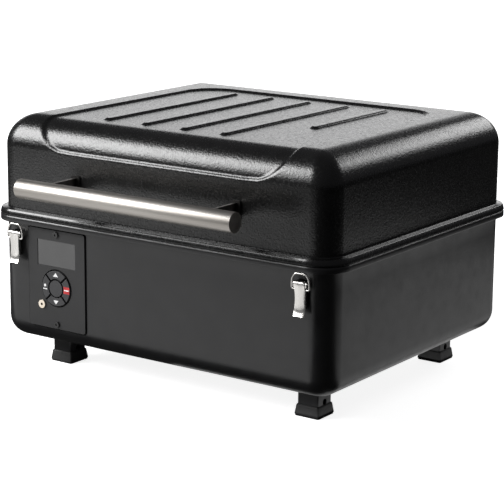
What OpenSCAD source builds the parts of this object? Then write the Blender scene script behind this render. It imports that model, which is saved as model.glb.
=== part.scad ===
// Table-top pellet smoker grill: a drawn steel tub on four legs under a hinged drawn steel lid.
// Behind the front left corner sit the controller, pellet hopper, auger and blower, and on the
// right is the cooking chamber with its fire pot, heat baffle, drip tray, grate and griddle.
// Lengths are millimetres. +X is the right side seen from the front, +Y the back, +Z up.

/* [Body] */
// Width of the tub and lid over their walls
body_w = 514; // [500:1:530]
// Depth of the tub and lid over their walls
body_d = 430; // [420:1:440]
// Height of the tub's underside above the ground
floor_z = 40; // [38:1:44]
// Height where the lid's hem meets the tub's lip
seam_z = 205.5; // [204:0.5:207]
// Height of the lid's top
top_z = 335; // [325:1:345]
// Radius of the upright corners
corner_r = 30; // [28:1:34]
// Radius of the bend between the tub's walls and floor
floor_r = 27; // [20:1:27]
// Radius of the bend round the lid's top
crown_r = 41; // [32:1:46]
// Sheet thickness of the tub
sheet = 1.5; // [1.2:0.1:2]
// Sheet thickness of the lid
lid_sheet = 2; // [1.6:0.1:2.4]
// How far the rim stands out from the walls
rim_out = 10; // [9:0.5:11]

/* [Handle] */
// Length of the handle bar
handle_len = 330; // [300:1:350]
// Radius of the handle bar
handle_r = 12.5; // [11:0.5:13]
// Distance from the lid's front wall to the bar's centreline
handle_out = 59; // [55:1:65]
// Height of the bar's centreline
handle_z = 257; // [250:1:262]
// Distance between the two handle brackets
bracket_gap = 248; // [220:1:270]

/* [Legs] */
// Distance of each leg from the centreline, left to right
leg_x = 196; // [185:1:200]
// Distance of each leg from the centreline, front to back
leg_y = 149; // [140:1:155]
// Side of the square leg tube
leg_side = 30; // [28:1:32]
// Side of the rubber foot where it meets the ground
foot_side = 34; // [33:1:38]

/* [Controls] */
// Width of the control panel
panel_w = 94; // [90:1:96]
// Height of the control panel
panel_h = 130; // [126:1:130]
// Radius of the round keypad's opening
keypad_r = 25; // [24.5:0.5:25.5]
// How far a key travels when pressed
key_travel = 1; // [0.5:0.1:1.2]

/* [Feed] */
// Radius of the auger's flight
auger_r = 17.5; // [15:0.5:18]
// Advance of the auger's flight in one turn
auger_pitch = 36; // [30:1:45]
// Radius of the fire pot
pot_r = 38; // [35:1:42]

/* [Cooking surface] */
// Distance between the grate's bars
bar_pitch = 15; // [13:1:20]
// Number of ridges on the griddle
ridge_count = 9; // [6:1:10]

/* [Hidden] */
$fn = 96;
gap = 0.3;                                   // play between parts that lie close but don't touch

rear_knuckle_r = 5;
hinge_out = 16.5;                            // hinge axis behind the rear wall
body_y = (handle_out + handle_r - hinge_out - rear_knuckle_r) / 2;   // centres the outline on the origin
front = -body_d / 2;                         // outer face of the front wall
back = body_d / 2;
side = body_w / 2;
crease_z = seam_z - 10.5;                    // where the tub's wall starts to flare into the rim
lip_z = seam_z - 3.5;                        // foot of the tub's upright lip
flange_z = seam_z + 8;                       // where the lid's wall turns out into its flange

ENDS = [["left", -1], ["right", 1]];
CORNERS = [["front_left", -1, -1], ["front_right", 1, -1], ["rear_left", -1, 1], ["rear_right", 1, 1]];

panel_x = -157.5;                            // centreline of the control panel
panel_z0 = 63.5;                             // bottom edge of the control panel
panel_mid_z = panel_z0 + panel_h / 2;
window_w = 63;
window_h = 34;
window_z = 162.5;
panel_proud = 2;
panel_face = front - panel_proud;
keypad_z = 117.5;
key_gap = 2.0;                               // slot between neighbouring keys
key_r = keypad_r - 1.8;
hub_key_r = 10.8;
key_face = 1.8;                              // how far the keys stand proud of the panel
key_depth = key_face + panel_proud + 3.5;
jack_x = panel_x - 24.5;
jack_z = 93.5;
jack_bore_r = 1.8;
screw_zs = [190 - 2, 69.5];
KEYS = [["up", 90], ["menu", 0], ["down", 270], ["smoke", 180]];

latch_x = 222;
rivet_zs = [150, 160];
latch_pivot_z = 183.5;
latch_pivot_out = 8;
bail_drop = 7;                               // from the lever's pivot down to the bail's pivot
bail_wire_r = 1.1;
bail_top_z = 198;
lever_low_z = 144;

hinge_x = 150;
hinge_z = seam_z + 3;
knuckle_len = 12;
pin_r = 2.5;

wall_x = -100;                               // left face of the bulkhead beside the hopper
wall_t = 1.2;
chamber_x0 = wall_x + wall_t;
chamber_mid_x = (chamber_x0 + side - sheet) / 2;
inside_d = body_d - 2 * sheet;
auger_z = 80;
auger_x0 = -205;
pot_x = chamber_mid_x;
tray_z = 142;
grate_z = 180;
grate_w = 163;
grate_d = 392;
hopper_y0 = -152;
hopper_y1 = 200;
hopper_x0 = -247;
hopper_x1 = wall_x - gap;
hopper_top = 199;
blower_x = -150;
blower_y = 120;
blower_z = 92;

// ---------- shared shapes ----------

// Rectangle with round corners, centred on the origin.
module rounded_rect(w, d, r) {
    square([w - 2 * r, d], center = true);
    square([w, d - 2 * r], center = true);
    for (x = [-1, 1], y = [-1, 1])
        translate([x * (w / 2 - r), y * (d / 2 - r)]) circle(r);
}

module rounded_block(w, d, h, r) {
    linear_extrude(h) rounded_rect(w, d, r);
}

// A plate standing upright, its face towards the front, centred on x and z and thick along +Y.
module upright_plate(w, h, t, r) {
    rotate([90, 0, 0]) translate([0, 0, -t]) linear_extrude(t) rounded_rect(w, h, r);
}

// Carries a wall's section round a rounded rectangle. In the section, x is 0 at the wall's outer
// face and grows outwards, and y is the height.
module swept_wall(w, d, r) {
    for (c = [[1, 1, 0], [-1, 1, 90], [-1, -1, 180], [1, -1, 270]])
        translate([c[0] * (w / 2 - r), c[1] * (d / 2 - r), 0])
            rotate(c[2]) rotate_extrude(angle = 90) translate([r, 0]) children();
    for (s = [[0, w / 2, d], [90, d / 2, w], [180, w / 2, d], [270, d / 2, w]])
        rotate(s[0]) translate([s[1], 0, 0])
            rotate([90, 0, 0]) linear_extrude(s[2] - 2 * r, center = true) children();
}

// A cylinder along X from x0 to x1.
module rod_x(x0, x1, r) {
    translate([x0, 0, 0]) rotate([0, 90, 0]) cylinder(h = x1 - x0, r = r);
}

// A cylinder along Y from y0 to y1.
module rod_y(y0, y1, r) {
    translate([0, y0, 0]) rotate([-90, 0, 0]) cylinder(h = y1 - y0, r = r);
}

// Section of the cavity's end wall: square above, round at its two lower corners.
module tub_section(w, z0, z1, r) {
    translate([-w / 2, z0 + r]) square([w, z1 - z0 - r]);
    translate([-w / 2 + r, z0]) square([w - 2 * r, r]);
    for (s = [-1, 1]) translate([s * (w / 2 - r), z0 + r]) circle(r);
}

// ---------- tub, legs and feet ----------

module tub_wall_section() {
    translate([-sheet, floor_z + floor_r]) square([sheet, crease_z - floor_z - floor_r]);
    translate([-floor_r, floor_z + floor_r]) intersection() {
        difference() {
            circle(floor_r);
            circle(floor_r - sheet);
        }
        translate([0, -floor_r]) square(floor_r);
    }
    translate([-corner_r, floor_z]) square([corner_r - floor_r, sheet]);
    polygon([
        [-sheet, crease_z], [0, crease_z], [rim_out, lip_z], [rim_out, seam_z - gap],
        [rim_out - sheet, seam_z - gap], [rim_out - sheet, lip_z + 0.7], [-sheet, crease_z + 0.7]
    ]);
}

// Louvres low in the left wall let air in to the blower.
module intake_louvres() {
    for (i = [0:6])
        translate([-side - 1, 70 + 12 * i, 76]) rotate([90, 0, 90])
            linear_extrude(sheet + 2) rounded_rect(5, 40, 2.4);
}

module tub() color([0.12, 0.12, 0.13]) difference() {
    union() {
        swept_wall(body_w, body_d, corner_r) tub_wall_section();
        translate([-side + corner_r, front + corner_r, floor_z])
            cube([body_w - 2 * corner_r, body_d - 2 * corner_r, sheet]);
        translate([panel_x, front + sheet, panel_mid_z]) difference() {
            upright_plate(panel_w + 12, panel_h + 10, sheet, 6);
            translate([0, -1, 0]) upright_plate(panel_w - 14, panel_h - 24, sheet + 2, 4);
        }
    }
    translate([panel_x, front - 1, panel_mid_z]) upright_plate(panel_w + 4, panel_h + 3, sheet + 1, 5);
    for (z = screw_zs) translate([panel_x, 0, z]) rod_y(front, front + 10, 1.6);
    for (e = ENDS, z = rivet_zs) translate([e[1] * latch_x, 0, z]) rod_y(front - 1, front + 3, 2.05);
    intake_louvres();
    translate([-188, 0, 96]) translate([0, back - 5, 0]) upright_plate(28.6, 20.6, 10, 2);
    translate([-142, 0, 96]) translate([0, back - 5, 0]) upright_plate(14.6, 20.6, 10, 1);
}

foot_h = 15;

// A short square tube with a closed top, welded under the tub, with a hole across its sides.
module leg() color([0.1, 0.1, 0.11]) difference() {
    translate([0, 0, 5]) rounded_block(leg_side, leg_side, floor_z - 5, 2);
    translate([0, 0, 4]) rounded_block(leg_side - 5, leg_side - 5, floor_z - 7, 1);
    translate([0, 0, 18.5]) rod_x(-leg_side, leg_side, 4.2);
}

// A rubber boot round the leg's lower end, flared towards the ground.
module foot() color([0.09, 0.09, 0.09]) difference() {
    hull() {
        rounded_block(foot_side - 1, foot_side - 1, 0.5, 2.5, $fn = 24);
        translate([0, 0, 2]) rounded_block(foot_side, foot_side, 0.5, 3, $fn = 24);
        translate([0, 0, foot_h - 3]) rounded_block(leg_side + 3.4, leg_side + 3.4, 0.5, 3, $fn = 24);
        translate([0, 0, foot_h - 0.5]) rounded_block(leg_side + 1, leg_side + 1, 0.5, 2, $fn = 24);
    }
    translate([0, 0, 5]) rounded_block(leg_side + 2 * gap, leg_side + 2 * gap, foot_h, 2 + gap);
}

// ---------- lid and handle ----------

// The lid's outline as a solid shrunk evenly by inset: upright walls, then a round crown whose
// corners open out a little towards the top, as a drawn sheet's do.
module lid_solid(inset, z0) {
    w = body_w - 2 * inset;
    d = body_d - 2 * inset;
    r = crown_r - inset;
    spring_z = top_z - crown_r;
    layer = 0.02;
    hull() {
        translate([0, 0, z0]) rounded_block(w, d, spring_z - z0, corner_r - inset, $fn = 48);
        for (a = [15:15:90]) {
            in = r * (1 - cos(a));
            translate([0, 0, spring_z + r * sin(a) - layer])
                rounded_block(w - 2 * in, d - 2 * in, layer, corner_r - inset + in / 4, $fn = 48);
        }
    }
}

recess_w = 384;
recess_y0 = -184;
recess_y1 = 150;
rib_pitch = 61;
rib_w = 13;

module stadium(x, y0, y1, w) {
    translate([x, y0]) circle(w / 2);
    translate([x, y1]) circle(w / 2);
    translate([x - w / 2, y0]) square([w, y1 - y0]);
}

// The pressed centre of the lid's top, with five ribs left standing in it.
module lid_recess() {
    translate([0, 0, top_z - 0.8]) linear_extrude(5) difference() {
        translate([0, (recess_y0 + recess_y1) / 2]) rounded_rect(recess_w, recess_y1 - recess_y0, 42);
        for (i = [-2:2]) stadium(i * rib_pitch, i == 2 ? -44 : -157, 111, rib_w);
    }
}

module lid_flange_section() {
    polygon([
        [-lid_sheet / 2, flange_z - 2], [rim_out - lid_sheet, flange_z - 4], [rim_out - lid_sheet, seam_z],
        [rim_out, seam_z], [rim_out, flange_z - 2], [-lid_sheet / 2, flange_z + 0.2]
    ]);
}

module lid_shell() color([0.07, 0.07, 0.07]) difference() {
    union() {
        difference() {
            lid_solid(0, flange_z - 3);
            lid_solid(lid_sheet, flange_z - 7);
        }
        swept_wall(body_w, body_d, corner_r) lid_flange_section();
    }
    lid_recess();
    for (x = [-78, 0, 78]) translate([x, back - 6, 232]) upright_plate(66, 7, 12, 3.4);
    for (e = ENDS, z = [-6, 6]) translate([e[1] * bracket_gap / 2, 0, handle_z + z])
        rod_y(front - 1, front + 5, 2.2);
}

module handle_bar() color([0.75, 0.74, 0.72]) translate([0, front - handle_out, handle_z]) {
    difference() {
        rod_x(-handle_len / 2, handle_len / 2, handle_r);
        rod_x(-handle_len / 2 + 2, handle_len / 2 - 2, handle_r - 1.5);
    }
}

// A flat stainless strap on edge, welded to a foot that lies against the lid.
module handle_bracket() color([0.6, 0.6, 0.57]) {
    difference() {
        translate([-2, front - handle_out, handle_z - 9]) cube([4, handle_out, 18]);
        translate([0, front - handle_out, handle_z]) rod_x(-5, 5, handle_r + gap);
    }
    translate([0, front - 2, handle_z]) upright_plate(14, 24, 2, 3);
}

// Studs from the brackets' feet through the lid, with nuts inside.
module handle_studs() color([0.6, 0.6, 0.6])
    for (e = ENDS, z = [-6, 6]) translate([e[1] * bracket_gap / 2, 0, handle_z + z]) {
        rod_y(front, front + 7, 2);
        translate([0, front + lid_sheet, 0]) rotate([-90, 0, 0]) cylinder(h = 3, r = 4, $fn = 6);
    }

// ---------- control panel ----------

module control_panel() color([0.13, 0.13, 0.14]) difference() {
    translate([panel_x, panel_face, panel_mid_z]) upright_plate(panel_w, panel_h, sheet + panel_proud, 3.5);
    translate([panel_x, panel_face - 1, window_z]) upright_plate(window_w, window_h, sheet + panel_proud + 2, 1);
    translate([panel_x, 0, keypad_z]) rod_y(panel_face - 1, front + 3, keypad_r);
    translate([jack_x, 0, jack_z]) rod_y(panel_face - 1, front + 3, 4);
    for (z = screw_zs) translate([panel_x, 0, z]) rod_y(panel_face - 1, front + 3, 1.6);
}

module panel_screws() color([0.05, 0.05, 0.05])
    for (z = screw_zs) translate([panel_x, 0, z]) {
        difference() {
            rod_y(panel_face - 2, panel_face, 4);
            translate([0, panel_face - 3, 0]) rotate([-90, 0, 0]) cylinder(h = 2, r = 1.7, $fn = 6);
        }
        rod_y(panel_face, front + 6, 1.55);
    }

module display_window() color([0.25, 0.26, 0.27, 0.9])
    translate([panel_x, panel_face + 0.6, window_z])
        upright_plate(window_w - 0.4, window_h - 0.4, sheet + panel_proud - 0.6, 0.8);

module display_module() color([0.3, 0.32, 0.3])
    translate([panel_x, front + sheet + 0.1, window_z]) upright_plate(window_w + 4, window_h - 1, 4, 1);

module controller_board() color([0.1, 0.3, 0.15]) {
    translate([panel_x, front + 14, panel_mid_z]) upright_plate(74, 100, 1.6, 1);
    for (p = [[-20, 30, 14, 10], [12, 26, 18, 8], [-8, -34, 22, 14], [24, -20, 8, 12]])
        translate([panel_x + p[0], front + 15.6, panel_mid_z + p[1]]) upright_plate(p[2], p[3], 6, 0.5);
}

// Moulded box behind the panel, open to the front, clipped behind the tub's panel frame.
module controller_housing() color([0.15, 0.15, 0.15]) translate([panel_x, front + 2 * sheet, panel_mid_z])
    difference() {
        upright_plate(panel_w - 8, panel_h - 20, 40, 4);
        translate([0, -1, 0]) upright_plate(panel_w - 12, panel_h - 24, 39, 3);
    }

// A moulded cup behind the panel's round hole, under the keys.
module keypad_base() color([0.03, 0.03, 0.03]) translate([panel_x, 0, keypad_z]) difference() {
    rod_y(front + sheet, front + 7, keypad_r + 1.2);
    rod_y(front + sheet - 1, front + 5, keypad_r);
}

module key_wedge(angle) {
    half = 45;
    reach = 60;
    rotate(angle) polygon([[0, 0], [reach * cos(half), -reach * sin(half)], [reach * cos(half), reach * sin(half)]]);
}

module key_solid(t) {
    translate([0, panel_face - key_face, 0]) rotate([-90, 0, 0]) linear_extrude(t) mirror([0, 1]) children();
}

module ring_key(angle) color([0.14, 0.14, 0.15]) translate([panel_x, 0, keypad_z]) key_solid(key_depth)
    intersection() {
        difference() {
            circle(key_r);
            circle(hub_key_r + key_gap);
        }
        translate([key_gap / sqrt(2) * cos(angle) * 1.2, key_gap / sqrt(2) * sin(angle) * 1.2]) key_wedge(angle);
    }

module key_hub() color([0.14, 0.14, 0.15]) translate([panel_x, 0, keypad_z]) key_solid(key_depth) circle(hub_key_r);

// Brass sleeve for a meat probe's plug.
module probe_jack() color([0.8, 0.72, 0.5]) translate([jack_x, 0, jack_z]) difference() {
    union() {
        rod_y(panel_face - 1.8, panel_face, 5.4);
        rod_y(panel_face, front + 10, 3.9);
    }
    rod_y(panel_face - 3, front + 7, jack_bore_r);
}

// ---------- latches ----------

module at_latch(s) {
    translate([s * latch_x, front, 0]) children();
}

plate_half = 9.2;

// Bent plate riveted to the tub, with two ears that carry the lever's pin.
module latch_plate() color([0.7, 0.7, 0.68]) {
    translate([0, -1.2, 165]) upright_plate(2 * plate_half, 44, 1.2, 3);
    for (s = [-1, 1]) {
        translate([s * (plate_half - 0.6) - 0.6, 0, 0]) rotate([90, 0, 90]) linear_extrude(1.2) {
            polygon([[-1.2, 152], [-3.6, 156], [-3.6, 174], [-latch_pivot_out, latch_pivot_z - 3],
                [-latch_pivot_out, latch_pivot_z + 3], [-1.2, 186.5]]);
            translate([-latch_pivot_out, latch_pivot_z]) circle(3);
        }
    }
    translate([0, -latch_pivot_out, latch_pivot_z]) rod_x(-plate_half, plate_half, 1.4);
    for (z = rivet_zs) translate([0, 0, z]) rod_y(-2.2, 3.5, 2);
}

// Side view of the lever: an eye round the pin, a flat strap and a turned-out tip.
module lever_side() {
    t = 1.4;
    difference() {
        translate([-latch_pivot_out, latch_pivot_z]) circle(1.5 + t);
        translate([-latch_pivot_out, latch_pivot_z]) circle(1.5);
    }
    polygon([
        [-latch_pivot_out - 1.5 - t, latch_pivot_z], [-latch_pivot_out - 1.5, latch_pivot_z],
        [-8, 170], [-7.2, 152], [-10.4, lever_low_z], [-11.8, lever_low_z + 0.6], [-8.7, 153], [-9.5, 170]
    ]);
}

// One of the two lugs behind the lever that carry the bail.
module lever_lug() {
    translate([-latch_pivot_out, latch_pivot_z - bail_drop]) circle(2.4);
    translate([-latch_pivot_out - 2, latch_pivot_z - bail_drop - 2]) square([4, 4.4]);
}

module latch_lever() color([0.82, 0.82, 0.8]) difference() {
    union() {
        rotate([90, 0, 90]) linear_extrude(15, center = true) lever_side();
        for (s = [-1, 1]) translate([s * 6.4 - 0.5, 0, 0]) rotate([90, 0, 90]) linear_extrude(1) lever_lug();
    }
    for (s = [-1, 1]) translate([s * 25.5, 0, 167]) rod_y(-20, 0, 19);
    translate([0, -latch_pivot_out, latch_pivot_z - bail_drop]) {
        rod_x(-10, -4.1, bail_wire_r + 0.1);
        rod_x(4.1, 10, bail_wire_r + 0.1);
    }
}

// Straight run of bail wire between two points of the bail's own plane, with a round end.
module wire(a, b, r) {
    d = b - a;
    translate([a[0], 0, a[1]]) rotate([0, atan2(d[0], d[1]), 0]) cylinder(h = norm(d), r = r);
    translate([b[0], 0, b[1]]) sphere(r * 1.04);
}

// A wire loop, wide at its pivots and narrow at the top, with its two ends turned in.
module latch_bail() color([0.8, 0.8, 0.78]) {
    low = latch_pivot_z - bail_drop;
    top = bail_top_z;
    points = [[5.4, low], [12, low], [12.4, low + 7], [7.6, top - 2.4], [5.6, top],
        [-5.6, top], [-7.6, top - 2.4], [-12.4, low + 7], [-12, low], [-5.4, low]];
    translate([0, -latch_pivot_out, 0]) for (i = [0:len(points) - 2])
        wire(points[i], points[i + 1], bail_wire_r);
}

// ---------- lid hinges ----------

hinge_len = 5 * (knuckle_len + gap);

module at_hinge(s) {
    translate([s * hinge_x, back + hinge_out, hinge_z]) children();
}

// Straps run from their own knuckles to a plate on the wall.
module hinge_leaf(slots, section, plate_z, plate_h) {
    difference() {
        union() {
            for (i = slots) translate([(i - 2.5) * (knuckle_len + gap), 0, 0]) {
                rod_x(0, knuckle_len, rear_knuckle_r);
                rotate([90, 0, 90]) linear_extrude(knuckle_len) polygon(section);
            }
            translate([-gap / 2, -hinge_out, plate_z - hinge_z]) upright_plate(hinge_len - gap, plate_h, 2, 2);
        }
        rod_x(-hinge_len, hinge_len, pin_r + 0.06);
    }
}

module hinge_tub_leaves() color([0.1, 0.1, 0.1]) for (e = ENDS) at_hinge(e[1])
    hinge_leaf([0, 2, 4], [[-4.5, 0], [4.5, 0], [2, -7], [-hinge_out + 2, -20], [-hinge_out, -20],
        [-hinge_out, -17], [-3, -7]], 182, 16);

module hinge_lid_leaves() color([0.1, 0.1, 0.1]) for (e = ENDS) at_hinge(e[1])
    hinge_leaf([1, 3], [[-4.5, 0], [4.5, 0], [3, 7], [-hinge_out + 2, 16], [-hinge_out, 16],
        [-hinge_out, 12], [-3, 6.5]], 225, 16);

module hinge_pins() color([0.6, 0.6, 0.6]) for (e = ENDS) at_hinge(e[1]) {
    rod_x(-hinge_len / 2 - 1, hinge_len / 2 + 1, pin_r);
    rod_x(hinge_len / 2 + 0.4, hinge_len / 2 + 2, 4);
}

// ---------- hopper side ----------

module bulkhead() color([0.5, 0.5, 0.5]) difference() {
    translate([wall_x, 0, 0]) rotate([90, 0, 90]) linear_extrude(wall_t)
        tub_section(inside_d - 2 * gap, floor_z + sheet + gap, 200, floor_r - sheet);
    translate([0, 0, auger_z]) rod_x(wall_x - 1, wall_x + 3, auger_r + 4.6);
    translate([wall_x - 1, -30, floor_z + sheet + 0.5]) cube([4, 60, 14.5]);
    translate([0, 150, 168]) rod_x(wall_x - 1, wall_x + 3, 3.3);
}

module hopper_outline(inset, extra) {
    hull() {
        translate([hopper_x0 + inset, hopper_y0 + inset, 150]) cube([hopper_x1 - hopper_x0 - 2 * inset,
            hopper_y1 - hopper_y0 - 2 * inset, hopper_top - 150 + extra]);
        translate([-200 + inset, -18 + inset, 108 - extra]) cube([60 - 2 * inset, 36 - 2 * inset, 1]);
    }
}

// Sheet hopper: upright sides above a funnel that empties on to the auger.
module hopper() color([0.4, 0.4, 0.42]) difference() {
    union() {
        hopper_outline(0, 0);
        translate([-200, -18, auger_z + auger_r + 4.5]) cube([60, 36, 12]);
    }
    hopper_outline(1.5, 1);
    translate([-196, -14, auger_z + auger_r]) cube([52, 28, 40]);
}

hopper_hinge_x = hopper_x0 + 3;
lid_z = hopper_top + 3.4;

module hopper_hinge() color([0.5, 0.5, 0.5]) for (y = [-110, 160]) {
    translate([hopper_hinge_x, 0, lid_z]) rod_y(y - 20, y + 20, 1.5);
    for (k = [-18, 18]) translate([hopper_hinge_x - 3, y + k - 2, hopper_top]) cube([6, 4, 6]);
}

module hopper_lid() color([0.1, 0.1, 0.1]) {
    x0 = hopper_hinge_x + 4.5;
    difference() {
        union() {
            translate([x0, hopper_y0 + 1, lid_z - 1]) cube([hopper_x1 - x0 - 2, hopper_y1 - hopper_y0 - 2, 1.5]);
            for (y = [-110, 160]) {
                translate([hopper_hinge_x, 0, lid_z]) rod_y(y - 14, y + 14, 3);
                translate([hopper_hinge_x, y - 14, lid_z - 1]) cube([6, 28, 1.5]);
            }
        }
        for (y = [-110, 160]) translate([hopper_hinge_x, 0, lid_z]) rod_y(y - 15, y + 15, 1.56);
    }
    translate([hopper_x1 - 22, 27, lid_z + 0.5]) {
        cylinder(h = 10, r = 5);
        translate([0, 0, 8]) cylinder(h = 5, r = 9);
    }
}

module controller_deck() color([0.1, 0.1, 0.1])
    translate([-240, front + 8, hopper_top - 1]) cube([wall_x - gap + 240, hopper_y0 - gap - front - 8, 1.5]);

// Shaft with one helical flight.
module auger() color([0.45, 0.45, 0.45]) translate([0, 0, auger_z]) {
    length = pot_x - pot_r - auger_x0 - 6;
    rod_x(auger_x0 - 8, auger_x0 + length, 5);
    translate([auger_x0, 0, 0]) rotate([0, 90, 0])
        linear_extrude(height = length - 2, twist = -360 * length / auger_pitch, slices = 110, segments = 4)
            translate([4, -2.2]) square([auger_r - 4, 4.4]);
}

module auger_tube() color([0.5, 0.5, 0.5]) translate([0, 0, auger_z]) {
    outer = auger_r + 4.3;
    difference() {
        rod_x(auger_x0 - 6, pot_x - pot_r - 1, outer);
        rod_x(auger_x0 - 3, pot_x, outer - 2);
        rod_x(auger_x0 - 10, pot_x, 5.06);
        translate([-196, -14, 5]) cube([52, 28, 40]);
    }
}

module auger_motor() color([0.3, 0.3, 0.32]) translate([0, 0, auger_z]) {
    translate([-248, -24, -26]) cube([24, 48, 52]);
    rod_x(-224, auger_x0 - 8 - gap, 5);
    translate([-236, 0, -3]) rod_y(24, 52, 16);
}

// ---------- air and fire ----------

module blower_housing() color([0.2, 0.2, 0.2]) difference() {
    union() {
        translate([0, blower_y, blower_z]) rod_x(blower_x - 14, blower_x + 14, 36);
        translate([blower_x - 14, blower_y - 70, blower_z - 36]) cube([28, 70, 22]);
    }
    translate([0, blower_y, blower_z]) rod_x(blower_x - 12, blower_x + 12, 34);
    translate([blower_x - 12, blower_y - 72, blower_z - 34]) cube([24, 72, 18]);
    translate([0, blower_y, blower_z]) rod_x(blower_x - 20, blower_x, 14);
    translate([0, blower_y, blower_z]) rod_x(blower_x, blower_x + 20, 3.4);
}

module blower_wheel() color([0.1, 0.1, 0.1]) translate([blower_x, blower_y, blower_z]) {
    difference() {
        rod_x(7, 9, 29);
        rod_x(0, 20, 1.5);
    }
    difference() {
        rod_x(-2, 8, 6);
        rod_x(-5, 20, 1.5);
    }
    for (i = [0:23]) rotate([15 * i, 0, 0]) translate([-8, 23, 0]) rotate([35, 0, 0]) cube([16, 6, 1.2]);
}

module blower_motor() color([0.4, 0.4, 0.42]) translate([0, blower_y, blower_z]) {
    rod_x(blower_x + 14.2, wall_x - 2, 20);
    rod_x(blower_x - 2, blower_x + 15, 1.45);
}

// Flat duct along the floor, from the bulkhead to the fire pot.
module air_duct() color([0.5, 0.5, 0.5]) {
    z0 = floor_z + sheet + 0.5;
    difference() {
        translate([wall_x + wall_t + gap, -28, z0]) cube([pot_x - pot_r - wall_x - wall_t - 2 * gap + 10, 56, 13.5]);
        translate([wall_x, -26.8, z0 + 1.2]) cube([300, 53.6, 11.1]);
        translate([pot_x, 0, z0 - 1]) cylinder(h = 20, r = pot_r + gap);
    }
}

// Deep cup where the pellets burn, with rings of air holes.
module fire_pot() color([0.35, 0.33, 0.32]) {
    z0 = floor_z + sheet + 0.5;
    h = auger_z + auger_r + 12 - z0;
    translate([pot_x, 0, z0]) difference() {
        cylinder(h = h, r = pot_r);
        translate([0, 0, 16]) cylinder(h = h, r = pot_r - 3);
        translate([0, 0, auger_z - z0]) rod_x(-pot_r - 5, 0, auger_r + 2);
        translate([0, 0, 7.5]) rod_x(-pot_r - 5, 0, 4.4);
        for (a = [45:30:315]) rotate(a) translate([0, 0, 22]) rod_x(pot_r - 6, pot_r + 5, 2.5);
    }
}

module igniter_rod() color([0.7, 0.7, 0.68]) translate([0, 0, floor_z + sheet + 8])
    rod_x(wall_x - 30, pot_x - pot_r + 12, 4);

// A low inverted tray that spreads the fire's heat, on four posts.
module heat_baffle() color([0.3, 0.3, 0.3]) {
    z = 122;
    translate([pot_x, 0, z]) difference() {
        rounded_block(250, 250, 12, 8);
        translate([0, 0, -1.5]) rounded_block(247, 247, 12, 6.5);
    }
    for (x = [-1, 1], y = [-1, 1]) translate([pot_x + x * 100, y * 100, floor_z + sheet + gap])
        cylinder(h = z + 10.6 - floor_z - sheet - gap, r = 5);
}

// Shallow tray that leads grease to a spout at its front right corner.
module drip_tray() color([0.3, 0.3, 0.3]) difference() {
    translate([chamber_mid_x, 0, tray_z]) difference() {
        rounded_block(336, 400, 14, 10);
        translate([0, 0, 1.5]) rounded_block(333, 397, 14, 8.5);
    }
    translate([chamber_mid_x + 128, -158, tray_z - 1]) cylinder(h = 5, r = 9);
}

// Angle irons on the front and back walls carry the tray and the grates.
module tray_rails() color([0.4, 0.4, 0.4]) for (s = [0, 1], z = [tray_z - gap, grate_z - 1 - gap])
    mirror([0, s, 0]) translate([chamber_x0 + 24, inside_d / 2 - 24, z - 1.5]) {
        cube([290, 24 - gap, 1.5]);
        translate([0, 22.2, -10]) cube([290, 1.8 - gap, 11]);
    }

module grease_cup() color([0.6, 0.6, 0.6]) translate([chamber_mid_x + 122, -145, floor_z + sheet + gap])
    difference() {
        rounded_block(52, 76, 66, 8);
        translate([0, 0, 1.5]) rounded_block(49, 73, 66, 6.5);
    }

// Round bars on two cross bars, inside a rod frame.
module grill_grate() color([0.25, 0.25, 0.25]) translate([chamber_mid_x + 84, 0, grate_z]) {
    count = floor((grate_w - 10) / bar_pitch);
    for (i = [0:count]) translate([(i - count / 2) * bar_pitch, 0, 5]) rod_y(-grate_d / 2 + 3, grate_d / 2 - 3, 2);
    for (s = [-1, 0, 1]) translate([0, s * (grate_d / 2 - 5), 1.5]) rod_x(-grate_w / 2, grate_w / 2, 2.5);
    for (s = [-1, 1]) translate([s * (grate_w / 2 - 2.5), 0, 1.5]) rod_y(-grate_d / 2 + 5, grate_d / 2 - 5, 2.5);
}

module griddle() color([0.12, 0.12, 0.12]) translate([chamber_mid_x - 84, 0, grate_z - 1]) {
    difference() {
        rounded_block(grate_w, grate_d, 9, 8);
        translate([0, 0, 4]) rounded_block(grate_w - 8, grate_d - 8, 9, 5);
    }
    for (i = [0:ridge_count - 1])
        translate([(i - (ridge_count - 1) / 2) * 16 - 2, -grate_d / 2 + 12, 3.9]) cube([4, grate_d - 24, 3]);
}

module temperature_probe() color([0.7, 0.7, 0.7]) translate([0, 150, 168]) {
    rod_x(wall_x, wall_x + 45, 3);
    rod_x(wall_x + wall_t, wall_x + 5, 6);
}

// ---------- mains inlet and switch ----------

module power_inlet() color([0.05, 0.05, 0.05]) translate([-188, back, 96]) {
    difference() {
        union() {
            upright_plate(36, 27, 2, 3);
            translate([0, -26, 0]) upright_plate(28, 20, 27, 2);
        }
        translate([0, -18, 0]) upright_plate(24, 16, 22, 2);
    }
    for (p = [[-7, 0], [0, 4], [7, 0]]) translate([p[0], -19, p[1] - 2]) translate([-1, 0, -0.5]) cube([2, 17, 5]);
}

module power_switch_frame() color([0.05, 0.05, 0.05]) translate([-142, back, 96]) {
    difference() {
        union() {
            upright_plate(20, 27, 2, 1.5);
            translate([0, -16, 0]) upright_plate(14, 20, 17, 1);
        }
        translate([0, -13, 0]) upright_plate(11, 17, 16, 0.8);
    }
    translate([0, -4, 0]) rod_x(-6, 6, 0.95);
}

rocker_tilt = 8;

module power_rocker() color([0.6, 0.05, 0.05]) translate([-142, back - 4, 96]) rotate([rocker_tilt, 0, 0])
    rotate([90, 0, 90]) linear_extrude(10, center = true) difference() {
        union() {
            polygon([[-5, -4], [5.2, -7.6], [6.2, -7.6], [4.6, 0], [6.2, 7.6], [5.2, 7.6], [-5, 4]]);
            circle(4.2);
        }
        circle(1);
    }

// ---------- assembly ----------

module placed() {
    translate([0, body_y, 0]) children();
}

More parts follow.
